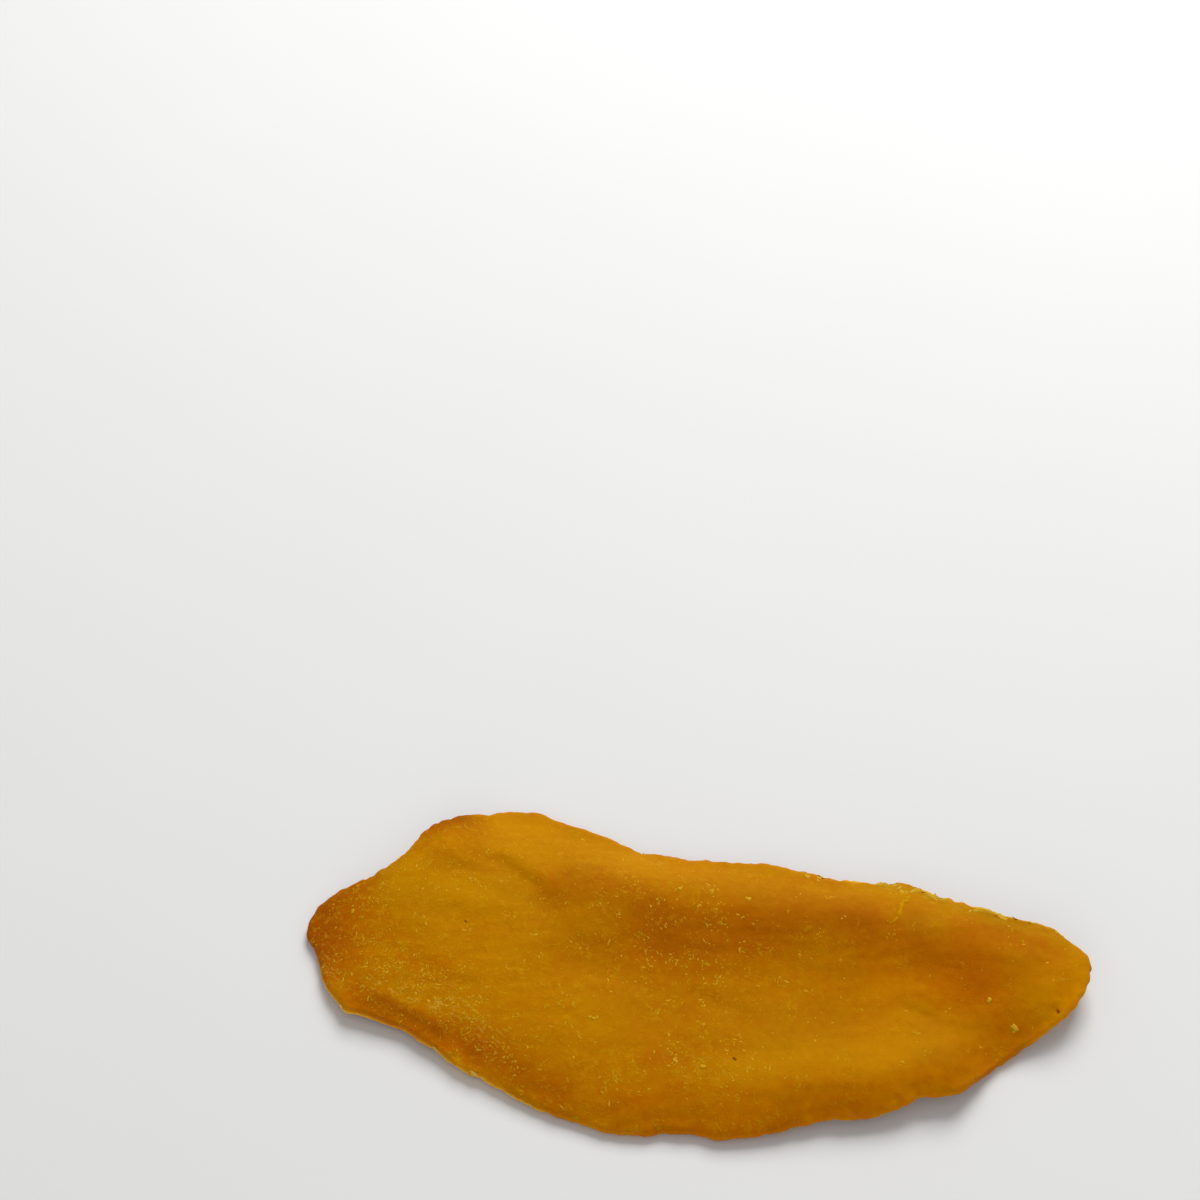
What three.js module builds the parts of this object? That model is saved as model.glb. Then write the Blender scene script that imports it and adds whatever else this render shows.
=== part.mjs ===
// A dried mango slice: one cheek of the fruit, cut thin and dried until it curls, lying on its underside.
// Millimetres, +Z up. +X runs along the slice to its pointed tip, +Y from the near edge to the far one.
// The origin is the middle of the slice's footprint, at the height of what it lies on.
import * as THREE from "three";
import { ImprovedNoise } from "three/addons/math/ImprovedNoise.js";

// Driving dimensions
const LENGTH = 124; // blunt end to pointed tip
const WIDTH = 57.5; // near edge to far edge
const THICKNESS = 3.5; // the flesh, away from the edge
const EDGE_THICKNESS = 1.9; // the cut edge
const TAPER_WIDTH = 4.5; // how fast the flesh thickens inwards from the edge
const EDGE_BULGE = 0.45; // how far the cut edge is rounded outwards
const FLATTENED = 0.5; // how much the underside is pressed flat where it rests

// How finely the sheet is divided along and across the slice, and its outline all round.
const STEPS_ALONG = 80;
const STEPS_ACROSS = 32;
const OUTLINE_SAMPLES = 720;

// The outline, anticlockwise from the tip, as shares of the half length and the half width.
const OUTLINE_SHARES = [
  [1.0, -0.03], // the tip
  [0.935, 0.13],
  [0.895, 0.21],
  [0.82, 0.25],
  [0.615, 0.425],
  [0.56, 0.485], // a shoulder
  [0.38, 0.515],
  [0.225, 0.615],
  [-0.04, 0.685],
  [-0.145, 0.735],
  [-0.24, 0.835],
  [-0.32, 0.905],
  [-0.415, 1.0], // the widest place
  [-0.525, 1.0],
  [-0.695, 0.885], // the far corner
  [-0.73, 0.78],
  [-0.81, 0.6],
  [-0.96, 0.425],
  [-1.005, 0.26], // the blunt end
  [-0.93, -0.18], // the near corner
  [-0.75, -0.36],
  [-0.57, -0.62],
  [-0.425, -0.785],
  [-0.22, -0.945],
  [-0.045, -0.94],
  [0.05, -0.985],
  [0.28, -0.9],
  [0.385, -0.885],
  [0.48, -0.82],
  [0.585, -0.76],
  [0.66, -0.7],
  [0.745, -0.545],
  [0.925, -0.295],
];

// Folds of the sheet of flesh. Each is a soft ridge, or a groove where its heights are negative, along a
// line from one point to another that bows to the left by "bow". Its height changes evenly from the line's
// start to its end, and falls off over "width" to both sides.
const FOLDS = {
  farRoll: { from: [-15, 12.2], to: [52, -0.8], bow: 2.2, width: 7, heights: [1.6, 1.0] },
  farFall: { from: [-29, 29], to: [44, 14], bow: -1.5, width: 9, heights: [-3.9, -1.1] },
  longTrough: { from: [-5, -2.5], to: [42, -7], bow: 0, width: 10, heights: [-1.9, -1.5] },
  nearSwell: { from: [6, -22.3], to: [38, -19.2], bow: -0.5, width: 5.5, heights: [0.9, 2.3] },
  nearFall: { from: [-47, -16], to: [48, -19], bow: -13, width: 8, heights: [-1.2, -1.1] },
  bluntFall: { from: [-67, 12], to: [-66, 2], bow: 0, width: 11, heights: [-2.6, -2.2] },
  tipLift: { from: [56, -7], to: [60, -4], bow: 0, width: 7, heights: [0.8, 0.6] },
  cornerLift: { from: [-43, 26], to: [-36, 28.5], bow: 0, width: 5.5, heights: [0.9, 0.5] },
  tipFall: { from: [46, -15], to: [54, -12], bow: 0, width: 6.5, heights: [-1.1, -0.4] },
  creaseLong: { from: [-35, 18], to: [-24.5, 10.2], bow: 0.6, width: 2.3, heights: [-0.6, -0.6] },
  creaseShort: { from: [-41, 15.2], to: [-35.5, 13.5], bow: 0.4, width: 2.2, heights: [-0.35, -0.35] },
  creaseTrough: { from: [-21, 1], to: [-14, -0.5], bow: 0, width: 3, heights: [-0.4, -0.4] },
  dentEnd: { from: [-46, -1], to: [-43, -2.3], bow: 0, width: 3.4, heights: [-0.3, -0.3] },
  dentFar: { from: [-40, 7.4], to: [-37.5, 6.6], bow: 0, width: 2.6, heights: [-0.25, -0.25] },
  wrinkleMiddle: { from: [0, -7.5], to: [6.5, -10], bow: 0.5, width: 2, heights: [-0.2, -0.2] },
  wrinkleTip: { from: [31, -9], to: [38, -11.5], bow: 0.5, width: 2, heights: [-0.2, -0.2] },
};

// The edge hangs down all round, by this much at the edge itself.
const DROOP = { height: 0.4, width: 3 };
// Ripples that the drying leaves, longer along the fibres of the fruit than across them.
// Each takes its own layer of the noise.
const RIPPLES = [
  { along: 19, across: 7, height: 0.2, layer: 0.5 },
  { along: 8, across: 3.4, height: 0.1, layer: 1.5 },
];
// Small waves of the cut edge, in the plane of the sheet. They die out quickly inwards from the edge.
const CRINKLE = { length: 4.5, height: 0.5, fade: 6, layer: 9.5 };
// How the sheet leans once it has settled on its lowest places, in mm of rise for each mm.
const LEAN = { along: 0.01, across: 0.047 };

const noise = new ImprovedNoise();
const bump = (distance, width) => Math.exp(-((distance / width) ** 2));

// The outline as a closed curve, sampled finely. Every ray from the middle meets it once.
const outline = new THREE.CatmullRomCurve3(
  OUTLINE_SHARES.map(
    ([along, across]) => new THREE.Vector3((along * LENGTH) / 2, (across * WIDTH) / 2, 0),
  ),
  true,
).getPoints(OUTLINE_SAMPLES);

// A point's direction from the middle once the slice is squeezed to a circle, from 0 to 1 turn.
const turnOf = (point) => {
  const angle = Math.atan2(point.y / WIDTH, point.x / LENGTH) / (2 * Math.PI);
  return (angle + 1) % 1;
};
const outlineByTurn = outline
  .slice(0, -1)
  .map((point) => ({ turn: turnOf(point), point }))
  .sort((one, other) => one.turn - other.turn);

// The point of the outline in a direction.
function outlinePoint(turn) {
  const found = outlineByTurn.findIndex((sample) => sample.turn > turn);
  const count = outlineByTurn.length;
  const after = outlineByTurn[found < 0 ? 0 : found];
  const before = outlineByTurn[((found < 0 ? 0 : found) - 1 + count) % count];
  const span = (after.turn - before.turn + 1) % 1;
  const share = ((turn - before.turn + 1) % 1) / span;
  return before.point.clone().lerp(after.point, share);
}

function distanceToEdge(point) {
  return Math.sqrt(Math.min(...outline.map((sample) => sample.distanceToSquared(point))));
}

// The height of one fold at a point of the sheet.
function foldHeight({ from, to, bow, width, heights }, point) {
  const start = new THREE.Vector3(...from, 0);
  const line = new THREE.Vector3(...to, 0).sub(start);
  const length = line.length();
  line.normalize();
  const offset = point.clone().sub(start);
  const along = offset.dot(line);
  const share = THREE.MathUtils.clamp(along / length, 0, 1);
  const past = along - share * length;
  const aside = line.x * offset.y - line.y * offset.x - bow * (1 - (2 * share - 1) ** 2);
  return THREE.MathUtils.lerp(...heights, share) * bump(Math.hypot(past, aside), width);
}

// The height of the middle of the sheet at a point, and half its thickness there.
function fleshAt(point) {
  const edge = distanceToEdge(point);
  let middle = LEAN.along * point.x + LEAN.across * point.y - DROOP.height * bump(edge, DROOP.width);
  for (const fold of Object.values(FOLDS)) {
    middle += foldHeight(fold, point);
  }
  for (const { along, across, height, layer } of RIPPLES) {
    middle += height * noise.noise(point.x / along, point.y / across, layer);
  }
  const fullness = 1 - Math.exp(-edge / TAPER_WIDTH);
  const half = THREE.MathUtils.lerp(EDGE_THICKNESS, THICKNESS, fullness) / 2;
  return { middle, half };
}

// The sheet is a grid pressed into a disc, and the disc is stretched out to the outline.
function sheetPoint(column, row) {
  const u = (2 * column) / STEPS_ALONG - 1;
  const v = (2 * row) / STEPS_ACROSS - 1;
  const disc = new THREE.Vector2(u * Math.sqrt(1 - (v * v) / 2), v * Math.sqrt(1 - (u * u) / 2));
  const radius = Math.min(disc.length(), 1);
  const turn = (disc.angle() / (2 * Math.PI)) % 1;
  const rim = outlinePoint(turn);
  const wave = noise.noise(rim.x / CRINKLE.length, rim.y / CRINKLE.length, CRINKLE.layer);
  rim.addScaledVector(rim.clone().normalize(), CRINKLE.height * wave * radius ** CRINKLE.fade);
  return rim.multiplyScalar(radius);
}

const vertexAt = (column, row) => row * (STEPS_ALONG + 1) + column;

// The crossings of the grid along its border, anticlockwise.
function borderOf() {
  const steps = (count) => Array.from({ length: count }, (_, step) => step);
  return [
    ...steps(STEPS_ALONG).map((step) => vertexAt(step, 0)),
    ...steps(STEPS_ACROSS).map((step) => vertexAt(STEPS_ALONG, step)),
    ...steps(STEPS_ALONG).map((step) => vertexAt(STEPS_ALONG - step, STEPS_ACROSS)),
    ...steps(STEPS_ACROSS).map((step) => vertexAt(0, STEPS_ACROSS - step)),
  ];
}

// The corners of the upper face and of the underside, crossing by crossing.
function sheetCorners() {
  const top = [];
  const under = [];
  for (let row = 0; row <= STEPS_ACROSS; row++) {
    for (let column = 0; column <= STEPS_ALONG; column++) {
      const point = sheetPoint(column, row);
      const { middle, half } = fleshAt(point);
      top.push(point.clone().setZ(middle + half));
      under.push(point.clone().setZ(middle - half));
    }
  }
  const lowest = Math.min(...under.map((point) => point.z));
  for (const point of under) {
    point.z = Math.max(point.z, lowest + FLATTENED);
  }
  return { top, under };
}

// The ring of corners along the middle of the cut edge, pushed outwards.
function bulgeCorners(border, top, under) {
  return border.map((corner, index) => {
    const next = top[border[(index + 1) % border.length]];
    const previous = top[border[(index - 1 + border.length) % border.length]];
    const outwards = new THREE.Vector3(next.y - previous.y, previous.x - next.x, 0).normalize();
    return top[corner].clone().lerp(under[corner], 0.5).addScaledVector(outwards, EDGE_BULGE);
  });
}

// The two triangles of a cell of the sheet, split along the diagonal towards the nearest corner of the grid.
function cellTriangles(column, row) {
  const [a, b, c, d] = [
    vertexAt(column, row),
    vertexAt(column + 1, row),
    vertexAt(column + 1, row + 1),
    vertexAt(column, row + 1),
  ];
  const atLeft = column < STEPS_ALONG / 2;
  const atNear = row < STEPS_ACROSS / 2;
  return atLeft === atNear ? [[a, b, c], [a, c, d]] : [[b, c, d], [b, d, a]];
}

// The slice's closed skin: its upper face, its underside split into triangles alike, and the rounded edge.
function sliceGeometry() {
  const { top, under } = sheetCorners();
  const border = borderOf();
  const bulge = bulgeCorners(border, top, under);
  const underStart = top.length;
  const bulgeStart = top.length + under.length;

  const faces = [];
  for (let row = 0; row < STEPS_ACROSS; row++) {
    for (let column = 0; column < STEPS_ALONG; column++) {
      for (const [a, b, c] of cellTriangles(column, row)) {
        faces.push(a, b, c);
        faces.push(underStart + c, underStart + b, underStart + a);
      }
    }
  }
  for (const [index, corner] of border.entries()) {
    const next = (index + 1) % border.length;
    const low = [underStart + corner, underStart + border[next]];
    const middle = [bulgeStart + index, bulgeStart + next];
    const high = [corner, border[next]];
    faces.push(low[0], low[1], middle[1], low[0], middle[1], middle[0]);
    faces.push(middle[0], middle[1], high[1], middle[0], high[1], high[0]);
  }

  const geometry = new THREE.BufferGeometry().setFromPoints([...top, ...under, ...bulge]);
  geometry.setIndex(faces);
  geometry.computeBoundingBox();
  const { min, max } = geometry.boundingBox;
  geometry.translate(-(min.x + max.x) / 2, -(min.y + max.y) / 2, -min.z);
  geometry.computeVertexNormals();
  return geometry;
}

const flesh = new THREE.MeshStandardMaterial({ color: 0xc98208, roughness: 0.55, metalness: 0 });
const slice = new THREE.Mesh(sliceGeometry(), flesh);
slice.name = "mango_slice";

const part = new THREE.Group();
part.add(slice);

export default part;
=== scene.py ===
"""A dried mango slice on a pale floor: waxy orange flesh with relief, flecks, sugar, crust and fibres."""

import math

import bmesh
import bpy
import numpy as np
from mathutils import Matrix, Vector, kdtree, noise
from mathutils.bvhtree import BVHTree


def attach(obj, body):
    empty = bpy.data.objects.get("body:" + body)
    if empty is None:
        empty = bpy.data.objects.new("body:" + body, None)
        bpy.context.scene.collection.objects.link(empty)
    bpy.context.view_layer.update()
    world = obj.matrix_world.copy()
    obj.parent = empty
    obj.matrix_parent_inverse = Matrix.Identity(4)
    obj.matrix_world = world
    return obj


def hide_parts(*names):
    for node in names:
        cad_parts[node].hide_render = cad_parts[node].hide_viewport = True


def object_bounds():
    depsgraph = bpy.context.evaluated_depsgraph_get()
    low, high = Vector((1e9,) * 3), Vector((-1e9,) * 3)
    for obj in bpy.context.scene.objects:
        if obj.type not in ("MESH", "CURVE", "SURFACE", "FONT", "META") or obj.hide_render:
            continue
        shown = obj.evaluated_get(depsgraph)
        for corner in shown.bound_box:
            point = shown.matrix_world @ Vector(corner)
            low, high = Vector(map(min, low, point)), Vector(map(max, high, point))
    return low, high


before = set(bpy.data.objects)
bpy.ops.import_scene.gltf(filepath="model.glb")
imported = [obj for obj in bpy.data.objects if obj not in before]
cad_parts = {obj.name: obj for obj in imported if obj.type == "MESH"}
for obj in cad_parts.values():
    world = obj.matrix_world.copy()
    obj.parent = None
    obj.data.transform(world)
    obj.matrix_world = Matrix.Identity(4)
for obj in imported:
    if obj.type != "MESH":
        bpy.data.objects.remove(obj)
cad_low, cad_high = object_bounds()

MM = 0.001
BODY = "root"
NODE = "mango_slice"

# Lengths are in millimetres unless a comment says metres. The slice's tip is at +X, its blunt end at -X, and
# its far side at +Y.
# Its look goes by soft strokes over it, as seen from above: each goes from one point to another, fades
# over its width to both sides, and has an amount.

# Deeper orange and darker flesh where the amount is below 0, and yellower and lighter flesh above it: partly
# the flesh's own uneven colour, partly painted shade on slopes and hollows turned from the light and painted
# light on swells.
TONES = {
    "far slope": ((-4, 5), (24, 4.5), 6.0, -0.30),
    "start of the far slope": ((-22, 13), (-8, 9.5), 4.0, -0.14),
    "far slope to the tip": ((28, 4), (42, -1.5), 5.0, -0.28),
    # Painted light: the blunt end is painted deeper orange for light bounced onto it from other slices.
    "blunt end": ((-61, 9), (-60.3, 3.5), 6.0, -0.56),
    "far corner": ((-42, 24), (-36, 25), 3.0, -0.12),
    # Painted shadow: the tip of the far corner is painted darker where another slice shades it.
    "tip of the far corner": ((-45, 25), (-40, 27.5), 2.0, -0.55),
    "long crease": ((-35, 19), (-26, 12.5), 2.0, -0.08),
    "short crease": ((-42, 16.8), (-35.5, 15.4), 1.8, -0.12),
    "dent at the end": ((-45, 0), (-41, -2), 2.6, -0.15),
    "middle of the far slope": ((16, 2.5), (29, 2.5), 4.5, 0.18),
    "near bank": ((-54, -6.0), (-36, -14.5), 2.3, -0.37),
    "below the near bank": ((-38, -16), (-31, -20.5), 1.5, 0.14),
    "end of the near bank": ((-34, -16.5), (-22, -22), 3.0, -0.29),
    "far side of the blunt end": ((-54, 14), (-49, 5), 3.0, -0.10),
    "middle": ((-20, 0), (-5, 2.5), 4.0, -0.08),
    "near rim": ((-55, -8.8), (-38, -17.8), 0.8, 0.18),
    "near edge": ((-12, -23), (18, -26), 4.5, -0.18),
    "lowest of the near edge": ((-8, -28), (11, -28.5), 1.8, -0.14),
    "near edge to the tip": ((24, -24), (44, -18), 3.5, -0.16),
    "trough": ((4, -2), (38, -6), 5.0, -0.08),
    "near side of the trough": ((-9, -7), (23, -11.5), 4.5, -0.06),
    "hollow before the tip": ((48, -11.5), (45, -5), 4.5, -0.17),
    "far side of the tip": ((44, 6), (54, 2), 4.0, -0.20),
    "far corner's swell": ((-33, 22.5), (-26, 23.5), 4.5, 0.08),
    "blunt side": ((-48, 14), (-30, 12.5), 4.5, 0.15),
    "near swell": ((0, -18), (36, -16), 3.5, 0.08),
    "far edge to the tip": ((27, 14.5), (60, 3), 2.0, 0.24),
    "tip": ((61, -1), (61, -5), 2.5, 0.12),
    "far roll": ((20, 10.3), (48, 6.0), 3.0, 0.07),
    "far roll by the fibre": ((35, 9.5), (39, 9.5), 2.0, -0.18),
    "above the near swell": ((-7, -17), (5, -15), 2.3, -0.13),
    "start of the near edge": ((-12, -20.5), (-8, -21.5), 2.0, 0.08),
    "start of the trough": ((6, -1), (11, -1), 2.5, 0.07),
}
# Painted shade where the amount is below 0, and painted light above it, of the same hue: mostly the light
# and shade of the slice's slopes and edges, with some of the flesh's own uneven lightness.
PAINTED_LIGHT_AND_SHADE = {
    "near edge to the tip": ((16, -25.5), (35, -22), 2.3, 0.18),
    "near edge of the tip": ((52, -13.5), (60.5, -6.5), 1.4, 0.22),
    "near side of the tip": ((51, -8.5), (59, -6.5), 3.2, 0.15),
    "blunt end": ((-61, 1), (-56, -6), 3.0, 0.12),
    "lower edge of the bank": ((-38.5, -14.5), (-32, -20.5), 1.8, 0.13),
    "end of the near bank": ((-24, -21), (-20, -22), 2.5, 0.06),
    "near bank": ((-46, -9.5), (-37, -14), 2.0, 0.14),
    "near rim": ((-55, -8.6), (-30, -21), 0.8, 0.10),
    "near edge": ((-16, -22), (9, -24.5), 2.5, 0.07),
    "lowest of the near edge": ((0, -28.4), (9, -28.6), 1.6, 0.07),
    "end of the near edge": ((2, -25.6), (10, -25.4), 1.9, 0.12),
    "start of the near edge": ((-17, -26.4), (-15, -27.2), 1.5, 0.10),
    "above the near edge": ((-3, -13.5), (13, -14), 2.2, -0.05),
    "blunt side": ((-48, 0), (-34, 1.5), 4.0, 0.05),
    "near side of the middle": ((-33, -8), (-22, -8), 4.0, 0.05),
    "far ridge": ((-10, 18), (2, 16.5), 2.5, 0.06),
    "far slope": ((9, 8.5), (34, 5), 2.6, -0.09),
    "far slope by the fibre": ((25, 6), (29, 3), 2.5, -0.06),
    "below the far slope": ((15, 4.5), (21, 4), 2.2, -0.07),
    "end of the far slope": ((36, 2), (41, 0.5), 2.5, -0.06),
    "middle of the far side": ((-5, 2), (1, 1), 2.5, -0.05),
    "blunt end's top": ((-49, 11), (-44, 11), 2.5, -0.06),
    "far corner's top": ((-33, 26), (-23, 26), 2.0, 0.06),
    "far of the long crease": ((-33, 16), (-30, 15), 2.2, -0.06),
    "far of its start": ((-20, 16), (-16, 15.5), 2.2, -0.07),
    "beside the far corner": ((-46, 20), (-41, 21), 3.0, 0.10),
    "far roll": ((-1, 12.5), (27, 9.7), 2.3, -0.07),
    "middle": ((-20, 0), (-15, -1), 4.0, -0.05),
    "before the hollow": ((30, -4), (46, -6), 3.2, 0.15),
    "far of the hollow": ((47, -1), (53, -0.5), 1.8, -0.06),
    "trough": ((-9, -7), (20, -11), 4.5, -0.08),
    "start of the far slope": ((-20, 13), (-8, 10), 3.5, -0.10),
    "far side": ((-30, 12), (-24, 9.5), 3.0, -0.09),
    "far side of the blunt end": ((-60, 11), (-52, 14), 3.0, -0.09),
    "far side of the tip": ((47, 8.5), (58.5, 4.0), 2.5, -0.17),
    "far roll before the tip": ((35, 6), (39, 5), 2.5, -0.10),
    "hollow before the tip": ((36, -12), (42, -12), 3.0, -0.07),
    "corner before the tip": ((34, -17.5), (40, -16.5), 2.0, -0.12),
    # Painted shadow: the far corner is painted darker where another slice shades it.
    "far corner": ((-45, 25.5), (-38, 26.5), 2.2, -0.23),
    "far roll by the fibre": ((33, 14), (50, 5), 2.6, -0.06),
    "near side of the far slope": ((34, -1), (37, -1), 1.8, -0.07),
}
# A dry whitish bloom.
FROST = {
    "bank": ((-51, -3.5), (-42, -7.0), 2.3, 1.0),
    "lower bank": ((-39, -7.5), (-32, -14), 2.5, 0.65),
    "blunt end": ((-61, 4), (-58, -2), 2.2, 0.8),
    "middle": ((-6, 5), (2, 3), 5.0, 0.1),
    "near swell": ((-4, -17.5), (4, -18), 3.5, 0.2),
    "far edge": ((20, 16), (58, 5), 1.6, 0.5),
}
# Where the flecks crowd.
FLECKED = {
    "middle": ((-6, 6), (2, 2.5), 4.5, 0.7),
    "bank": ((-50, 0), (-38, -7), 3.5, 2.3),
    "lower bank": ((-38, -10), (-29, -17), 3.5, 1.6),
    "blunt end": ((-58, -1), (-52, 10), 4.0, 0.9),
    "far side": ((-45, 16), (-30, 20), 6.0, 0.4),
    "near swell": ((-5, -17), (8, -19), 5.0, 0.8),
    "tip": ((50, -8), (57, -7), 3.5, 0.2),
}

# The solid's triangles are divided that often.
FINER_ROUNDS = 2
# Fine creases below 0 and ridges above it, as heights.
CREASES = {
    "long": ((-32.0, 17.8), (-26.2, 13.2), 1.1, -0.28),
    "above the long": ((-30.6, 19.6), (-24.8, 15.0), 2.0, 0.18),
    "short": ((-41.5, 17.2), (-35.3, 15.6), 1.0, -0.16),
    "bank's brow": ((-50.3, -5.6), (-40.5, -10.8), 1.1, 0.26),
    "below the brow": ((-48.0, -9.2), (-38.5, -13.6), 1.6, -0.13),
    "between": ((-33, 12), (-27, 9.5), 1.2, -0.10),
    "dent": ((-38.9, 8.9), (-38.3, 8.5), 1.0, -0.15),
    "far end dent": ((-44.2, -0.8), (-42.6, -1.6), 1.3, -0.15),
    "trough": ((-19.5, 2.6), (-15, 1.4), 1.2, -0.14),
    "wrinkle": ((-0.5, -5.5), (6.8, -8.7), 0.9, -0.14),
    "second wrinkle": ((1.5, -7.6), (8.0, -10.4), 0.9, -0.08),
    "wrinkle before the tip": ((31, -7.5), (36.3, -10.3), 0.9, -0.14),
    "nick": ((54.7, -9.1), (56.6, -9.9), 0.45, -0.09),
    "beside the fibre": ((34.2, 11.5), (31.0, 6.0), 0.7, 0.08),
}
# Layers of relief: the size of its features along and across the slice, and their height.
RELIEF = {
    "swellings": (9.0, 5.0, 0.11),
    "dimples": (4.2, 1.7, 0.08),
    "fibres": (5.5, 1.1, 0.042),
    "grain": (1.0, 1.0, 0.035),
}

# A skin this steep or steeper is part of the cut edge.
UPRIGHT = 0.35
# Waves of the cut edge's outline by size and height, and how far in from the edge they reach.
RIM_WAVES = ((2.6, 0.22), (1.3, 0.18), (0.8, 0.11))
RIM_REACH = 1.3
# Where the waves are higher.
TORN = {
    "far corner": ((-60, 13), (-42, 26), 3.0, 1.2),
    "far edge to the tip": ((22, 16), (46, 9.5), 2.5, 1.0),
}
# Where the edge stands a little farther out (above 0) or in than the solid's, and how far in that reaches.
EDGE_SHIFTS = {
    "blunt end's far side": ((-62.5, 7.5), (-59, 13.5), 2.5, 0.85),
    "far of the blunt end": ((-55, 16), (-51, 18), 2.5, 0.55),
    "far corner": ((-44, 26.5), (-43, 27), 1.5, 0.30),
    "far side": ((-32, 29), (-26, 28.3), 2.2, 0.85),
    "far slope": ((-21, 26), (14, 18.5), 2.5, 0.60),
    "far side again": ((18.5, 17), (26, 15.5), 2.0, 0.50),
    "before the torn edge": ((35, 15), (36.5, 14.7), 1.3, 0.55),
    "far side of the tip": ((43.5, 11.8), (50, 9.6), 2.2, 0.75),
    "tip's far side": ((51.5, 8.8), (56.5, 7.5), 1.6, 0.85),
    "far of the tip": ((60.8, 3.8), (62.3, 1.8), 1.2, 0.60),
    "tip": ((62.8, -0.8), (62.4, -2.4), 1.2, -0.35),
    "near corner": ((-56.4, -8), (-56, -8), 1.6, 0.80),
    "blunt end's middle": ((-61, 0), (-60.8, 2), 2.0, -0.70),
    "near bank": ((-34.5, -19.8), (-31.5, -21.4), 1.6, -0.60),
    "corner before the tip": ((39, -22), (39.4, -22), 1.3, 0.80),
    "hollow before it": ((33.5, -22.6), (32.5, -22.9), 1.7, -0.80),
    "near side": ((19, -26.6), (22, -26.3), 2.5, -0.50),
    "tooth": ((32.3, 15.0), (32.5, 15.0), 0.5, 0.50),
    "second tooth": ((34.7, 14.9), (35.2, 14.9), 0.5, 0.45),
    "third tooth": ((29.0, 15.4), (29.5, 15.4), 0.5, 0.35),
}
SHIFT_REACH = 3.0
# Where the cut edge shows as a pale line: a painted glow, for light that comes through the thin cut edge.
GLOWING_EDGE_STROKES = {
    "near corner": ((-61, -2), (-56, -8), 2.5, 1.0),
    "near edge": ((-54, -9.5), (-26, -24), 2.5, 1.0),
    "far edge to the tip": ((24, 16), (60, 4), 2.0, 0.45),
}
# How far in from the rim the pale line reaches, and how steep the skin is along its middle: a base, what
# facing the far side adds to it, and its softness.
PALE_REACH = 0.5
PALE_LINE = (0.15, 0.4, 0.36)
# Painted shade: the lower side of the far edge is painted that much deeper orange, as it is in shade.
PAINTED_SHADE_UNDER_FAR_EDGE = 0.45
# Painted light: the flesh this close to the near edge is painted up to that much lighter, for light coming
# through it, most where the edge rolls over away from the lamp.
THIN_REACH = 1.2
PAINTED_THIN_EDGE_LIGHT = 0.28

# Crust along the cut edge. It stands up in patches of that size, by that height.
CRUST_PATCHES = (1.1, 0.10)
CRUSTED = {
    "far corner": ((-60, 14), (-43, 27), 1.2, 0.2),
    "far edge": ((19.0, 16.4), (20.8, 15.8), 0.7, 1.0),
    "before the teeth": ((28.9, 14.9), (30.9, 14.0), 0.7, 1.1),
    "at the teeth": ((34.6, 14.2), (36.3, 13.5), 0.7, 1.1),
    "after the teeth": ((37.6, 12.4), (39.8, 11.0), 0.6, 1.3),
    "before the tip": ((45.8, 9.0), (48.2, 8.2), 0.7, 0.9),
    "at the tip": ((50.4, 8.0), (52.4, 7.5), 0.6, 0.8),
    "torn edge": ((26, 15.7), (58, 5), 0.9, 0.25),
}
# Its flakes: how many, their usual width, its spread, and the narrowest and widest.
CRUST_FLAKES = 130
FLAKE_WIDTH = 0.42
FLAKE_SPREAD = 0.4
FLAKE_LIMITS = (0.2, 1.0)
# The few lumps of crust along the near edge: where each is, and its width.
EDGE_LUMPS = {
    "near corner": ((-57.0, -7.2), 1.0),
    "after the corner": ((-55.1, -8.6), 0.6),
    "on the corner": ((-57.8, -6.0), 0.5),
    "near bank": ((-42.5, -14.9), 1.4),
    "after it": ((-41.0, -15.6), 0.7),
    "below the bank": ((-36.3, -18.9), 1.3),
    "beside that": ((-35.4, -19.6), 0.8),
    "before the middle": ((-30.4, -21.9), 0.6),
    "last": ((-27.2, -24.0), 0.7),
}
# Which way the lumps lie, in radians from the slice's length, and how much that varies.
LUMPS_LIE = (-0.5, 0.15)

# The flecks' loose groups: how many, how far they spread, and how often each has that many flecks.
FLECK_GROUPS = 1300
GROUP_SPREAD = 0.5
GROUP_SIZES = (1, 2, 3, 5, 8)
GROUP_CHANCES = (0.4, 0.25, 0.2, 0.1, 0.05)
# The flecks' usual length, its spread, and the shortest and longest.
FLECK_LENGTH = 0.40
FLECK_SPREAD = 0.42
FLECK_LIMITS = (0.18, 1.1)
# Their thickness as a share of their width, and how much their bend and their lie vary.
FLECK_THICKNESS = 0.18
FLECK_BEND = 0.9
FLECK_TURN = 0.9
# The size of the patches in which they are denser.
FLECK_PATCHES = 5.0
# Towards the tip they thin out: from one X to another, and from one share to another.
THINNED_ALONG = (-5, 15)
THINNED_TO = (1.0, 0.35)
# Which way they lie, in radians from the slice's length: mostly, and where X is below the last number.
LIE = -0.6
LIE_AT_THE_END = 1.4
BLUNT_END = -42

# The small grains: how many, and the narrowest and widest.
SMALL_GRAINS = 260
SMALL_GRAIN_LIMITS = (0.16, 0.42)
# The grains that stand out: where each is, and its width.
LARGE_GRAINS = {
    "before the tip": ((48.8, -11.5), 1.5),
    "beside it": ((45.4, -7.2), 1.1),
    "near side of the middle": ((-17.2, -10.2), 0.6),
    "beside that": ((-16.7, -10.4), 0.7),
    "and beside that": ((-16.2, -10.2), 0.6),
    "far roll": ((-2.7, 11.8), 0.9),
    "far roll again": ((8.2, 10.0), 0.8),
    "blunt end": ((-55.6, 8.9), 1.0),
    "near swell": ((-4.1, -17.3), 1.0),
    "near swell again": ((0.1, -18.4), 1.1),
}
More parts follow.
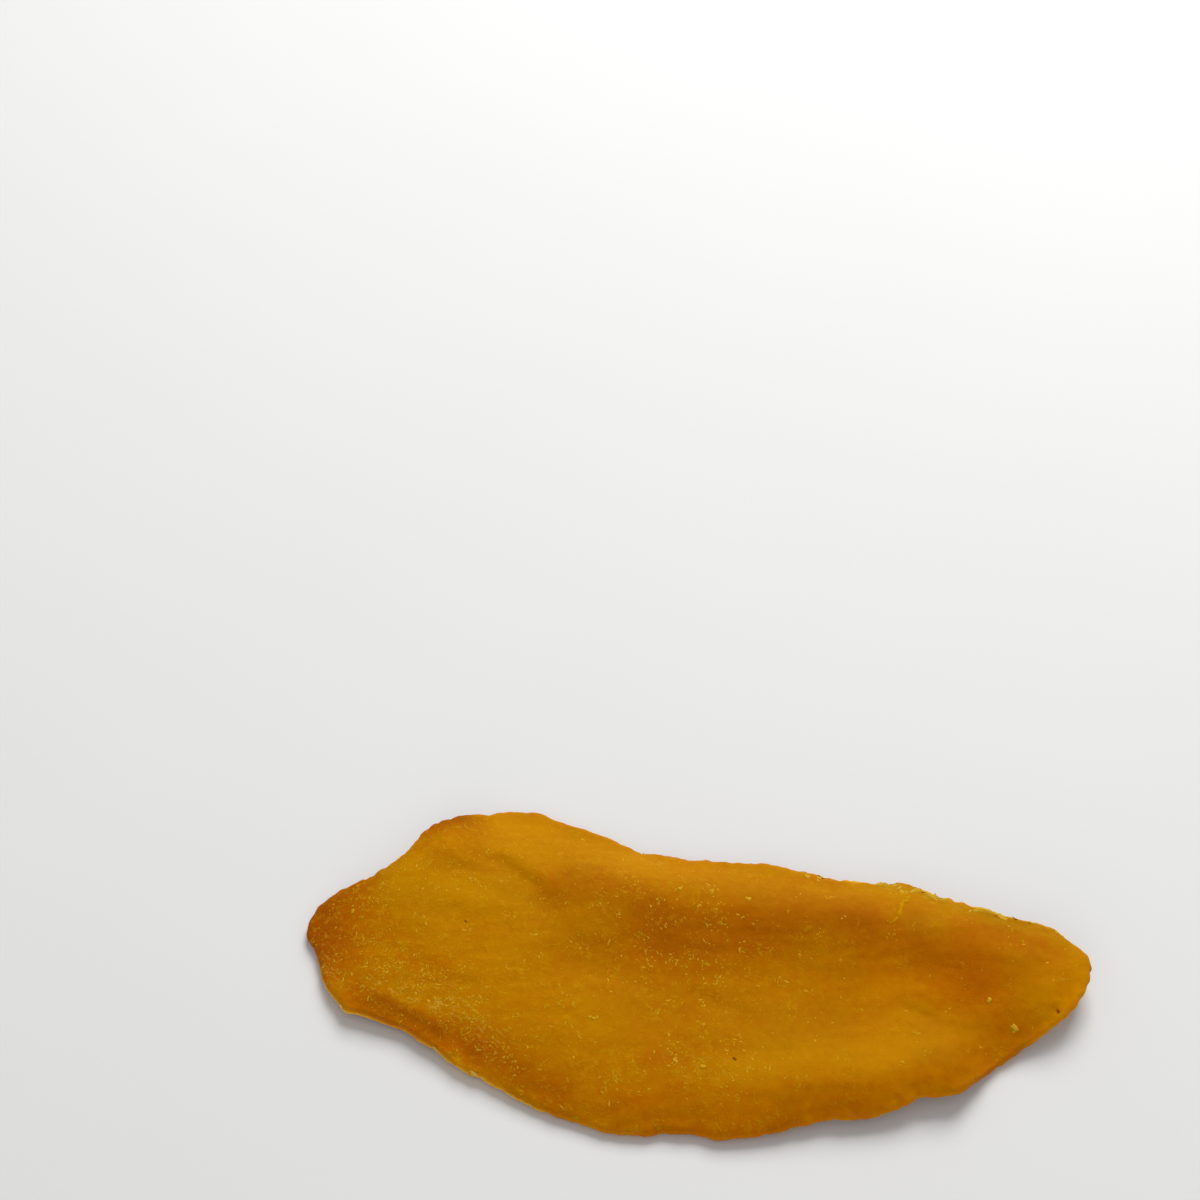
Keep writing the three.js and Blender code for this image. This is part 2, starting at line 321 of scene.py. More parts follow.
# The dark specks, in the same way.
DARK_SPECKS = {
    "near swell": ((5.0, -17.2), 0.6),
    "blunt side": ((-37.2, 6.4), 0.45),
    "near side of the tip": ((55.7, -9.3), 0.6),
}

# The least and most length, width and thickness of a grain or flake, as shares of its width.
GRAIN_SHARES = ((0.8, 0.5, 0.10), (1.2, 0.8, 0.17))
FLAKE_SHARES = ((1.0, 0.6, 0.08), (1.7, 1.0, 0.14))
# What a speck has of each, and how much more of each a lump has than a flake.
SPECK_SHARES = (1.3, 0.7, 0.35)
LUMP_SHARES = (1.2, 0.7, 3.0)

# The lumps of a grain's own surface: how fine they are, and how far one grain's are from the next one's.
ROUGHNESS = 2.2
ROUGHNESS_STEP = 9.1
# Each of these is strewn only on skin that is at least that far above the floor.
LOWEST = {"fruit_flecks": 0.3, "sugar_grains": 0.5, "edge_crust": 0.4}

# The routes of the one thick fibre and of the short ones that show, and the half thickness of each kind.
THICK_FIBRE = (
    (34.2, 12.6),
    (34.5, 11.3),
    (34.0, 10.2),
    (33.1, 9.5),
    (32.8, 8.4),
    (32.3, 6.8),
    (31.4, 5.9),
    (30.5, 5.4),
)
THICK_RADIUS = 0.62
SHOWN_FIBRES = {
    "near edge": ((1.8, -25.8), (1.9, -26.8), (2.3, -27.6), (3.0, -28.4)),
    "near side": ((7.6, -22.6), (7.8, -23.3), (7.7, -24.0), (8.1, -24.6)),
    "above it": ((8.2, -20.4), (8.9, -21.0), (9.3, -21.5)),
}
SHOWN_RADIUS = 0.14
# The fine fibres: how many, their least and most half thickness and length, and the steps of their route.
FINE_FIBRES = 18
FINE_RADIUS = (0.05, 0.09)
FINE_LENGTH = (1.0, 2.6)
FINE_STEPS = 5
# How much of its half thickness a fibre's middle is sunk in the skin.
THICK_SUNK = 0.76
SUNK = 0.5

# Each kind of noise on the skin takes its own layer, and each strewn piece its own seed.
LAYER_STEP = 37.0
RIM_LAYER = 10
FLECK_LAYER = 20
CRUST_LAYER = 30
SEEDS = {"fruit_flecks": 7, "sugar_grains": 11, "dark_specks": 13, "edge_crust": 17, "fruit_fibres": 19}
# A height above the whole slice.
ABOVE = 50
# The way from beside the slice to its middle is taken in steps that shorten it to that share.
STEP_INWARDS = 0.998

# Colours, as linear red, green and blue. The flesh's go from deep orange to yellow, by its tone.
FLESH_COLOURS = (
    (0.0, (0.350, 0.080, 0.0)),
    (0.35, (0.425, 0.122, 0.0)),
    (0.6, (0.465, 0.182, 0.0)),
    (0.8, (0.495, 0.210, 0.0)),
    (1.0, (0.530, 0.256, 0.0)),
)
MIDDLE_TONE = 0.57
BLOOM_COLOUR = (0.61, 0.345, 0.035)
FINE_SMUDGES = (0.58, 0.29, 0.002)
BROAD_SMUDGES = (0.58, 0.30, 0.004)
PAINTED_GLOW_COLOUR = (0.93, 0.53, 0.045)
LUMP_COLOUR = (0.76, 0.46, 0.08)
# Crusted flesh towards the blunt end and towards the tip. The crust's flakes are creamy and greenish there.
CRUSTED_COLOURS = ((0.60, 0.27, 0.03), (0.53, 0.30, 0.012))
# From where to where along X, in metres, the first goes over into the second: in the flesh and the flakes.
FLESH_GOES_OVER = (-0.01, 0.03)
FLAKES_GO_OVER = (0.0, 0.03)
# The two that each of these varies between.
FLECK_COLOURS = ((0.52, 0.215, 0.0), (0.71, 0.36, 0.02))
SUGAR_COLOURS = ((0.54, 0.26, 0.003), (0.65, 0.365, 0.018))
CREAMY_COLOURS = ((0.56, 0.24, 0.01), (0.66, 0.36, 0.05))
GREENISH_COLOURS = ((0.51, 0.26, 0.004), (0.58, 0.35, 0.03))
FIBRE_COLOURS = ((0.47, 0.205, 0.0), (0.52, 0.24, 0.0))
SPECK_COLOURS = ((0.20, 0.05, 0.002), (0.30, 0.10, 0.004))
FLOOR_COLOURS = ((0.735, 0.735, 0.73), (0.755, 0.755, 0.75))

# The floor, the lamps and the camera are in metres.
FLOOR_HALF_WIDTH = 1.5
# Where each lamp is, its width and its power: a bright one behind the slice, and a weak one before it.
LAMPS = {
    "window": ((0.18, 0.62, 0.62), 0.5, 7.4),
    "fill": ((-0.2, -0.6, 0.35), 0.5, 0.7),
}
# The even pale light all round.
ROOM_LIGHT = 0.39
# Where the camera is, how many degrees it looks down, and its lens and film in millimetres.
CAMERA_PLACE = (-0.01566, -0.15312, 0.28857)
LOOKS_DOWN = 51.5
LENS = 60
FILM_WIDTH = 36


# ---------------------------------------------------------------- shapes


def covered(places, strokes):
    """How much the soft strokes cover each place, summed."""
    total = np.zeros(len(places))
    for start, end, width, amount in strokes.values():
        line = np.subtract(end, start)
        share = np.clip((places[:, :2] - start) @ line / (line @ line), 0, 1)
        aside = places[:, :2] - (np.array(start) + share[:, None] * line)
        total += amount * np.exp(-np.sum(aside**2, axis=1) / width**2)
    return total


def waves(points, along, across, layer):
    """Smooth noise at each point, its features along and across the slice of those sizes."""
    scaled = points / (along, across, across) + (0, 0, LAYER_STEP * layer)
    return np.array([noise.noise(Vector(point)) for point in scaled])


def unit(vectors):
    """The vectors at length 1."""
    return vectors / np.maximum(np.linalg.norm(vectors, axis=1, keepdims=True), 1e-12)


def corners_of(mesh):
    """The mesh's corners in millimetres, and which way the skin faces there."""
    corners = np.empty(len(mesh.vertices) * 3)
    facing = np.empty(len(mesh.vertices) * 3)
    mesh.vertices.foreach_get("co", corners)
    mesh.vertex_normals.foreach_get("vector", facing)
    return corners.reshape(-1, 3) / MM, facing.reshape(-1, 3)


def set_corners(mesh, corners):
    """Puts the mesh's corners at these places, given in millimetres."""
    mesh.vertices.foreach_set("co", (corners * MM).ravel())
    mesh.update()


def shown(name, data):
    """A new object in the scene, which shows the data."""
    made = bpy.data.objects.new(name, data)
    bpy.context.scene.collection.objects.link(made)
    return made


def finished_mesh(holder, name):
    """The mesh that an object comes to with its modifiers or its bevel. The object itself is let go."""
    finished = holder.evaluated_get(bpy.context.evaluated_depsgraph_get())
    mesh = bpy.data.meshes.new_from_object(finished)
    bpy.data.objects.remove(holder)
    mesh.name = name
    return mesh


def finer_skin():
    """A finer copy of the solid slice: its triangles are paired into quads, then divided and smoothed."""
    bm = bmesh.new()
    bm.from_mesh(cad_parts[NODE].data)
    bmesh.ops.remove_doubles(bm, verts=bm.verts, dist=0.001 * MM)
    bmesh.ops.join_triangles(
        bm,
        faces=bm.faces,
        angle_face_threshold=math.radians(60),
        angle_shape_threshold=math.radians(80),
    )
    coarse = bpy.data.meshes.new("coarse_skin")
    bm.to_mesh(coarse)
    bm.free()
    holder = shown("coarse_skin", coarse)
    smoothing = holder.modifiers.new("smoothing", "SUBSURF")
    smoothing.levels = FINER_ROUNDS
    smoothing.render_levels = FINER_ROUNDS
    mesh = finished_mesh(holder, "mango_flesh")
    bpy.data.meshes.remove(coarse)
    return mesh


def rim_of(corners, facing):
    """Each corner's distance from the cut edge as seen from above, and which way is outwards there."""
    on_rim = np.flatnonzero(np.abs(facing[:, 2]) < UPRIGHT)
    tree = kdtree.KDTree(len(on_rim))
    for index in on_rim:
        tree.insert((corners[index, 0], corners[index, 1], 0), index)
    tree.balance()
    nearest = [tree.find((x, y, 0)) for x, y, _ in corners]
    distance = np.array([found[2] for found in nearest])
    outwards = facing[[found[1] for found in nearest]].copy()
    outwards[:, 2] = 0
    return distance, unit(outwards)


def relief(corners, facing):
    """How far the creases and the layers of relief lift each corner."""
    upper = np.clip(facing[:, 2] * 2, 0, 1)
    height = upper * covered(corners, CREASES)
    for layer, (along, across, amount) in enumerate(RELIEF.values()):
        height += amount * waves(corners, along, across, layer)
    return height


def crust_on(corners, facing):
    """How much crust each corner has."""
    size, _ = CRUST_PATCHES
    patches = 0.7 + 1.3 * waves(corners, size, size, CRUST_LAYER)
    return np.clip(covered(corners, CRUSTED) * patches, 0, 1) * np.clip(facing[:, 2] * 2 + 0.8, 0, 1)


def edge_moves(corners, distance):
    """How far the ragged outline and its shifts move each corner outwards."""
    ragged = np.zeros(len(corners))
    for layer, (size, amount) in enumerate(RIM_WAVES):
        ragged += amount * waves(corners, size, size, RIM_LAYER + layer)
    ragged *= (1 + covered(corners, TORN)) * np.exp(-((distance / RIM_REACH) ** 2))
    shift = covered(corners, EDGE_SHIFTS) * np.exp(-((distance / SHIFT_REACH) ** 2))
    return ragged + shift


def finish_values(corners, facing, distance, outwards):
    """What the finish reads at each corner: its tone, partly painted shade, its painted light and shade, its
    frost, and the pale line of painted glow along its rim.
    """
    upwards = facing[:, 2]
    farwards = outwards[:, 1]
    at_rim = np.exp(-((distance / PALE_REACH) ** 2))
    thin = np.exp(-((distance / THIN_REACH) ** 2))
    base, slant, softness = PALE_LINE
    pale_line = np.exp(-(((upwards - base - slant * farwards) / softness) ** 2))
    under_far = np.clip(0.3 - upwards, 0, 1) * np.clip(0.4 + farwards, 0, 1)
    rolled_over = 0.25 + np.clip(1 - upwards, 0, 0.75)
    return {
        "tone": covered(corners, TONES) - PAINTED_SHADE_UNDER_FAR_EDGE * at_rim * under_far,
        "shade": covered(corners, PAINTED_LIGHT_AND_SHADE) + PAINTED_THIN_EDGE_LIGHT * thin * rolled_over * np.clip(-farwards, 0, 1),
        "frost": covered(corners, FROST),
        "rim": np.clip(covered(corners, GLOWING_EDGE_STROKES), 0, 1) * at_rim * pale_line,
    }


def shaped_skin():
    """The slice's skin with its relief, creases and ragged edge, and the values that its finish reads."""
    mesh = finer_skin()
    corners, facing = corners_of(mesh)
    distance, outwards = rim_of(corners, facing)
    crust = crust_on(corners, facing)
    _, crust_height = CRUST_PATCHES
    height = relief(corners, facing) + crust_height * crust
    corners = corners + facing * height[:, None] + outwards * edge_moves(corners, distance)[:, None]
    corners[:, 2] = np.clip(corners[:, 2], 0, cad_high.z / MM)
    set_corners(mesh, corners)
    mesh.shade_smooth()
    for name, values in finish_values(corners, facing, distance, outwards).items():
        add_values(mesh, name, values)
    add_values(mesh, "crust", crust)
    return mesh


class Skin:
    """The finished skin, as places to put grains on."""

    def __init__(self, mesh):
        self.corners, _ = corners_of(mesh)
        self.faces = np.array([list(face.vertices) for face in mesh.polygons])
        self.middles = self.corners[self.faces].mean(axis=1)
        self.facing = np.array([face.normal for face in mesh.polygons])
        self.areas = np.array([face.area for face in mesh.polygons])
        self.tree = BVHTree.FromPolygons(self.corners.tolist(), self.faces.tolist())

    def drawn(self, count, liking, draw):
        """That many random places, by how much each face is liked, and which way the skin faces there."""
        chances = self.areas * liking
        chosen = draw.choice(len(self.faces), size=count, p=chances / chances.sum())
        shares = draw.dirichlet((1, 1, 1, 1), size=count)
        places = np.einsum("nc,ncd->nd", shares, self.corners[self.faces[chosen]])
        return places, self.facing[chosen]

    def beside(self, places, reach, draw):
        """For each place another near it on the skin, and which way the skin faces there."""
        moved = places + draw.normal(0, reach, places.shape)
        found = [self.tree.find_nearest(Vector(place)) for place in moved]
        return np.array([place for place, *_ in found]), np.array([facing for _, facing, *_ in found])

    def seen(self, x, y):
        """What the tree finds on the upper face at that point as seen from above, or nothing beside it."""
        return self.tree.ray_cast(Vector((x, y, ABOVE)), Vector((0, 0, -1)))

    def under(self, x, y):
        """The place on the upper face at that point as seen from above, and which way the skin faces."""
        place, facing, _, _ = self.seen(x, y)
        return np.array(place), np.array(facing)

    def at_edge(self, x, y):
        """The first place on the upper face on the way from that point to the slice's middle."""
        while not self.seen(x, y)[0]:
            x *= STEP_INWARDS
            y *= STEP_INWARDS
        return self.under(x, y)


def ball_shape():
    """The corners and faces of a ball of width 1, made of 80 triangles."""
    bm = bmesh.new()
    bmesh.ops.create_icosphere(bm, subdivisions=2, radius=0.5)
    return shape_of(bm)


def spindle_shape():
    """The corners and faces of a spindle of length and width 1, which lies along X."""
    bm = bmesh.new()
    bmesh.ops.create_uvsphere(bm, u_segments=4, v_segments=5, radius=0.5)
    bmesh.ops.rotate(bm, verts=bm.verts, matrix=Matrix.Rotation(math.pi / 2, 3, "Y"))
    corners, faces = shape_of(bm)
    # Blender lists these faces in another order each run, so they are sorted.
    return corners, sorted(faces)


def shape_of(bm):
    """The corners and faces of a bmesh, which is then let go."""
    bm.verts.ensure_lookup_table()
    corners = np.array([vert.co for vert in bm.verts])
    faces = [[vert.index for vert in face.verts] for face in bm.faces]
    bm.free()
    return corners, faces


def axes_on(facing, turns):
    """Each grain's own axes: its length lies in the skin, turned that much from the slice's own length."""
    forward = unit((1.0, 0.0, 0.001) - facing[:, :1] * facing)
    aside = np.cross(facing, forward)
    along = np.cos(turns)[:, None] * forward + np.sin(turns)[:, None] * aside
    return np.stack([along, np.cross(facing, along), facing], axis=1)


def strewn_mesh(name, shape, sizes, axes, places, bends=0.0, rough=0.0, pale=0.5):
    """One mesh of many grains: copies of a shape, each with its size, axes, place, bend and paleness."""
    corners, faces = shape
    count = len(places)
    grains = corners[None] * sizes[:, None]
    grains[:, :, 1] += np.reshape(bends, (-1, 1)) * grains[:, :, 0] ** 2 / sizes[:, :1]
    if rough:
        # Each grain reads its own stretch of the noise.
        points = corners[None] * ROUGHNESS + ROUGHNESS_STEP * np.arange(count)[:, None, None]
        swell = np.array([noise.noise(Vector(point)) for point in points.reshape(-1, 3)]).reshape(count, -1)
        grains *= 1 + rough * swell[:, :, None]
    placed = np.einsum("nvi,nij->nvj", grains, axes) + places[:, None]
    placed[:, :, 2] = np.maximum(placed[:, :, 2], 0)
    offsets = len(corners) * np.arange(count)
    joined = [[start + corner for corner in face] for start in offsets for face in faces]
    mesh = bpy.data.meshes.new(name)
    mesh.from_pydata((placed.reshape(-1, 3) * MM).tolist(), [], joined)
    add_values(mesh, "pale", np.repeat(np.broadcast_to(pale, count), len(corners)))
    return mesh


def add_values(mesh, name, values):
    """Gives each corner of the mesh a value that its finish reads by name."""
    mesh.attributes.new(name, "FLOAT", "POINT").data.foreach_set("value", values.astype(np.float32))


def spots(find, named):
    """The place and facing that are found for each of the named spots, and its width."""
    found = [find(x, y) for (x, y), _ in named.values()]
    places = np.array([place for place, _ in found])
    facing = np.array([way for _, way in found])
    return places, facing, np.array([width for _, width in named.values()])


def fleck_mesh(skin):
    """The fine pale flecks: short commas of dried fruit in loose groups, mostly sunk in the skin."""
    draw = np.random.default_rng(SEEDS["fruit_flecks"])
    patches = waves(skin.middles, FLECK_PATCHES, FLECK_PATCHES, FLECK_LAYER)
    patchy = np.clip(0.35 + 1.3 * patches, 0.04, 1)
    patchy *= np.interp(skin.middles[:, 0], THINNED_ALONG, THINNED_TO)
    crowded = np.clip(skin.facing[:, 2] * 3, 0, 1) * covered(skin.middles, FLECKED)
    clear = skin.middles[:, 2] > LOWEST["fruit_flecks"]
    groups, _ = skin.drawn(FLECK_GROUPS, (patchy + crowded) * clear, draw)
    groups = np.repeat(groups, draw.choice(GROUP_SIZES, size=len(groups), p=GROUP_CHANCES), axis=0)
    places, facing = skin.beside(groups, GROUP_SPREAD, draw)
    count = len(places)
    length = np.clip(draw.lognormal(math.log(FLECK_LENGTH), FLECK_SPREAD, count), *FLECK_LIMITS)
    width = 0.12 + 0.08 * draw.random(count) + 0.10 * length
    thickness = FLECK_THICKNESS * width
    sizes = np.stack([length, width, thickness], axis=1)
    bends = draw.normal(0, FLECK_BEND, count)
    lie = np.where(places[:, 0] < BLUNT_END, LIE_AT_THE_END, LIE)
    axes = axes_on(facing, draw.normal(lie, FLECK_TURN))
    places = places + 0.1 * thickness[:, None] * facing
    pale = draw.random(count) ** 2.4
    return strewn_mesh("fruit_flecks", spindle_shape(), sizes, axes, places, bends=bends, pale=pale)


def grain_mesh(skin):
    """The sugar grains: those that stand out at their places, and smaller ones all over."""
    draw = np.random.default_rng(SEEDS["sugar_grains"])
    large_places, large_facing, large_widths = spots(skin.under, LARGE_GRAINS)
    clear = skin.middles[:, 2] > LOWEST["sugar_grains"]
    liking = (0.3 + np.maximum(covered(skin.middles, FLECKED), 0)) * clear
    places, facing = skin.drawn(SMALL_GRAINS, liking, draw)
    places = np.concatenate([large_places, places])
    facing = np.concatenate([large_facing, facing])
    widths = np.concatenate([large_widths, draw.uniform(*SMALL_GRAIN_LIMITS, SMALL_GRAINS)])
    shares = draw.uniform(*GRAIN_SHARES, (len(widths), 3))
    axes = axes_on(facing, draw.uniform(0, 2 * math.pi, len(widths)))
    sizes = widths[:, None] * shares
    mesh = strewn_mesh("sugar_grains", ball_shape(), sizes, axes, places, rough=1.1)
    mesh.shade_smooth()
    return mesh


def speck_mesh(skin):
    """The few dark specks, pressed into the skin."""
    draw = np.random.default_rng(SEEDS["dark_specks"])
    places, facing, widths = spots(skin.under, DARK_SPECKS)
    sizes = widths[:, None] * SPECK_SHARES
    axes = axes_on(facing, draw.uniform(0, 2 * math.pi, len(widths)))
    return strewn_mesh("dark_specks", ball_shape(), sizes, axes, places, rough=0.6)


def crust_mesh(skin):
    """The pale crust along the cut edge: small flat flakes of dried juice, and a few lumps."""
    draw = np.random.default_rng(SEEDS["edge_crust"])
    steep = np.exp(-(((skin.facing[:, 2] - 0.7) / 0.4) ** 2))
    clear = skin.middles[:, 2] > LOWEST["edge_crust"]
    liking = steep * covered(skin.middles, CRUSTED) * clear
    places, facing = skin.drawn(CRUST_FLAKES, np.maximum(liking, 0), draw)
    lump_places, lump_facing, lump_widths = spots(skin.at_edge, EDGE_LUMPS)
    places = np.concatenate([places, lump_places])
    facing = np.concatenate([facing, lump_facing])
    count = len(places)
    widths = np.clip(draw.lognormal(math.log(FLAKE_WIDTH), FLAKE_SPREAD, count), *FLAKE_LIMITS)
    pale = 0.3 * draw.random(count)
    widths[CRUST_FLAKES:] = 0.7 * lump_widths
    pale[CRUST_FLAKES:] = 1
    sizes = widths[:, None] * draw.uniform(*FLAKE_SHARES, (count, 3))
    sizes[CRUST_FLAKES:] *= LUMP_SHARES
    turns = draw.uniform(0, 2 * math.pi, count)
    turns[CRUST_FLAKES:] = draw.normal(*LUMPS_LIE, len(lump_widths))
    axes = axes_on(facing, turns)
    return strewn_mesh("edge_crust", ball_shape(), sizes, axes, places, rough=0.8, pale=pale)


def fibre_mesh(skin):
    """The fruit's fibres that show: a thick one across the far roll, and fine ones here and there."""
    draw = np.random.default_rng(SEEDS["fruit_fibres"])
    curve = bpy.data.curves.new("fruit_fibres", "CURVE")
    curve.dimensions = "3D"
    curve.bevel_depth = MM
    curve.bevel_resolution = 1
    curve.use_fill_caps = True
    add_fibre(curve, skin, THICK_FIBRE, THICK_RADIUS, THICK_SUNK, draw)
    for route in SHOWN_FIBRES.values():
        add_fibre(curve, skin, route, SHOWN_RADIUS, SUNK, draw)
    starts, _ = skin.drawn(FINE_FIBRES, np.clip(skin.facing[:, 2] - 0.8, 0, 1), draw)
    for x, y, _ in starts:
        route = wandering_route(x, y, draw)
        if all(skin.seen(*point)[0] for point in route):
            add_fibre(curve, skin, route, draw.uniform(*FINE_RADIUS), SUNK, draw)
    mesh = finished_mesh(shown("fruit_fibres", curve), "fruit_fibres")
    mesh.shade_smooth()
    return mesh


def wandering_route(x, y, draw):
    """The points of a fine fibre's route, which starts there and turns a little at each step."""
    heading = draw.normal(-0.3, 0.6)
    length = draw.uniform(*FINE_LENGTH)
    route = [(x, y)]
    for _ in range(FINE_STEPS):
        heading += draw.normal(0, 0.25)
        x += length / FINE_STEPS * math.cos(heading)
        y += length / FINE_STEPS * math.sin(heading)
        route.append((x, y))
    return route


def add_fibre(curve, skin, route, thickness, sunk, draw):
    """Lays one knobbly fibre of that half thickness along the route, its middle sunk by that share of it."""
    steps = 4 * (len(route) - 1) + 1
    shares = np.linspace(0, len(route) - 1, steps)
    xs = np.interp(shares, range(len(route)), [x for x, _ in route])
    ys = np.interp(shares, range(len(route)), [y for _, y in route])
    spline = curve.splines.new("POLY")
    spline.points.add(steps - 1)
    for point, x, y, share in zip(spline.points, xs, ys, shares / shares[-1]):
        place, facing = skin.under(x, y)
        place = place - sunk * thickness * facing
        point.co = (*(place * MM), 1)
        point.radius = thickness * (0.8 + 0.2 * math.sin(math.pi * share)) * draw.uniform(0.8, 1.15)


# ---------------------------------------------------------------- finishes


class Value:
    """A shader socket. Sums, differences and products of values become Math nodes."""

    def __init__(self, finish, socket):
        self.finish = finish
        self.socket = socket

    def maths(self, operation, first, second):
        """What a Math node makes of two values."""
        return self.finish.node("ShaderNodeMath", {"operation": operation}, {0: first, 1: second})

    def __add__(self, other):
        return self.maths("ADD", self, other)

    def __sub__(self, other):
        return self.maths("SUBTRACT", self, other)

    def __rsub__(self, other):
        return self.maths("SUBTRACT", other, self)

    def __mul__(self, other):
        return self.maths("MULTIPLY", self, other)

    __radd__ = __add__
    __rmul__ = __mul__


class Finish:
    """One material, and the nodes that its look is made of."""

    def __init__(self, name, **constants):
        """Starts the material. Its constants have the names of the shader's sockets, with underscores."""
        self.material = bpy.data.materials.new(name)
        self.material.use_nodes = True
        self.tree = self.material.node_tree
        self.shader = self.tree.nodes["Principled BSDF"]
        self.place = self.node("ShaderNodeTexCoord", output="Object")
        for socket, value in constants.items():
            self.shader.inputs[socket.replace("_", " ")].default_value = value

    def node(self, kind, settings=None, inputs=None, output=0):
        """A node of a kind: its settings come first, then its sockets. One of its outputs is given back."""
        made = self.tree.nodes.new(kind)
        for name, value in (settings or {}).items():
            if name == "stops":
                self.set_stops(made.color_ramp, value)
            else:
                setattr(made, name, value)
        for name, value in (inputs or {}).items():
            self.feed(made.inputs[name], value)
        return Value(self, made.outputs[output])

    def feed(self, socket, value):
        """Links a value to the socket, or sets it to a constant."""
        if isinstance(value, Value):
            self.tree.links.new(value.socket, socket)
        else:
            socket.default_value = value

    @staticmethod
    def set_stops(ramp, stops):
        """Gives the ramp its stops, each a position and a colour."""
        while len(ramp.elements) < len(stops):
            ramp.elements.new(1)
        for element, (position, colour) in zip(ramp.elements, stops):
            element.position = position
            element.color = (*colour, 1)

    def painted(self, name):
        """A value that the piece's corners carry."""
        return self.node("ShaderNodeAttribute", {"attribute_name": name}, output="Fac")

    def cloud(self, size, detail=2.0, stretch=1.0, turn=0.0):
        """Soft noise about 0.5. Its features are that many millimetres wide, and longer along one way."""
        width = size * MM
        inputs = {"Vector": self.place, "Rotation": (0, 0, turn), "Scale": (width * stretch, width, width)}
        place = self.node("ShaderNodeMapping", {"vector_type": "TEXTURE"}, inputs)
        return self.node("ShaderNodeTexNoise", inputs={"Vector": place, "Scale": 1, "Detail": detail})

    def smudges(self, size, share):
        """Soft ragged patches, that many millimetres wide, over more of the skin the greater the share."""
        return self.fade(self.cloud(size, detail=3), 0.62 - 0.3 * share, 0.72 - 0.3 * share)

    def fade(self, value, low, high):
        """From 0 at low to 1 at high, softly."""
        settings = {"interpolation_type": "SMOOTHSTEP"}
        inputs = {"Value": value, "From Min": low, "From Max": high}
        return self.node("ShaderNodeMapRange", settings, inputs)

    def blend(self, share, first, second, way="MIX"):
        """From the first colour to the second, or to what both give in another way."""
        inputs = {0: share, 6: rgba(first), 7: rgba(second)}
        return self.node("ShaderNodeMix", {"data_type": "RGBA", "blend_type": way}, inputs, 2)

    def ramp(self, value, stops):
        """The colour at that value, between stops."""
        return self.node("ShaderNodeValToRGB", {"stops": stops}, {"Fac": value})

    def bump(self, height, depth):
        """Bumps that many millimetres deep where the height goes from 0 to 1."""
        self.set("Normal", self.node("ShaderNodeBump", inputs={"Height": height, "Distance": depth * MM}))

    def set(self, socket, value):
        """What the shader's own socket gets."""
        self.feed(self.shader.inputs[socket], value)


def rgba(colour):
    """A colour of three numbers with its fourth, or a socket as it is."""
    return colour if isinstance(colour, Value) else (*colour, 1)


# The shader's constants for all of the slice.
WAXY = {
    "Specular_IOR_Level": 0.04,
    "Specular_Tint": (1.0, 0.6, 0.05, 1.0),
    "Subsurface_Weight": 0.35,
    "Subsurface_Radius": (1.0, 0.45, 0.12),
    "Subsurface_Scale": 1.4 * MM,
}
# Light spreads less far in the small pieces than in the flesh.
SMALL = {**WAXY, "Subsurface_Scale": 0.12 * MM}


def flesh_finish():
    """Waxy dried flesh: painted deeper orange and darker in its hollows, yellower and lighter on its swells
    and edge, partly its own colour and partly painted light and shade, with a pale speckle.
    """
    finish = Finish("mango_flesh", **WAXY)
    blotches = finish.cloud(7, detail=3, stretch=1.6) - 0.5
    mottle = finish.cloud(1.4, detail=3) - 0.5
    tone = MIDDLE_TONE + finish.painted("tone") + 0.3 * blotches + 0.33 * mottle
    colour = finish.ramp(tone, FLESH_COLOURS)
    # Painted light and shade: the colour is made lighter or darker by the painted shade values.
    colour = finish.blend(1.0, colour, 1 + finish.painted("shade"), way="MULTIPLY")
    bloom = finish.painted("frost") * finish.fade(finish.cloud(0.5, 4, 2.5, LIE), 0.53, 0.66)
    colour = finish.blend(0.55 * bloom, colour, BLOOM_COLOUR)
    crust = finish.fade(finish.painted("crust"), 0.1, 0.7)
    side = finish.node("ShaderNodeSeparateXYZ", inputs={"Vector": finish.place}, output="X")
    crusted = finish.blend(finish.fade(side, *FLESH_GOES_OVER), *CRUSTED_COLOURS)
    colour = finish.blend(0.75 * crust, colour, crusted)
    patches = finish.fade(finish.cloud(5, detail=1) - 4 * side, 0.35, 0.65)
    fine = finish.smudges(0.4, 0.35) * (0.3 + 0.7 * patches)
    broad = finish.smudges(0.9, 0.25) * patches
    colour = finish.blend(0.13 * fine, colour, FINE_SMUDGES)
    colour = finish.blend(0.26 * broad, colour, BROAD_SMUDGES)
    # A pale line of painted glow along the cut edge.
    colour = finish.blend(0.9 * finish.painted("rim"), colour, PAINTED_GLOW_COLOUR)
    finish.set("Base Color", colour)
    finish.set("Roughness", 0.5 + 0.2 * finish.cloud(1.2) + 0.1 * bloom)
    finish.bump(finish.cloud(0.45, detail=4) + 0.5 * fine + 0.5 * broad + 0.5 * bloom + crust, 0.05)
    return finish.material


def fleck_finish():
    """Pale gold flecks, each a little different."""
    finish = Finish("fruit_flecks", **SMALL)
    finish.set("Base Color", finish.blend(finish.painted("pale"), *FLECK_COLOURS))
    finish.set("Roughness", 0.5 + 0.2 * finish.cloud(0.5))
    finish.bump(finish.cloud(0.15), 0.01)
    return finish.material


def grain_finish():
    """Sugar that has taken the fruit's colour."""
    finish = Finish("sugar_grains", **SMALL)
    finish.set("Base Color", finish.blend(finish.cloud(0.5), *SUGAR_COLOURS))
    finish.set("Roughness", 0.4 + 0.3 * finish.cloud(0.4))
    finish.bump(finish.cloud(0.25), 0.05)
    return finish.material


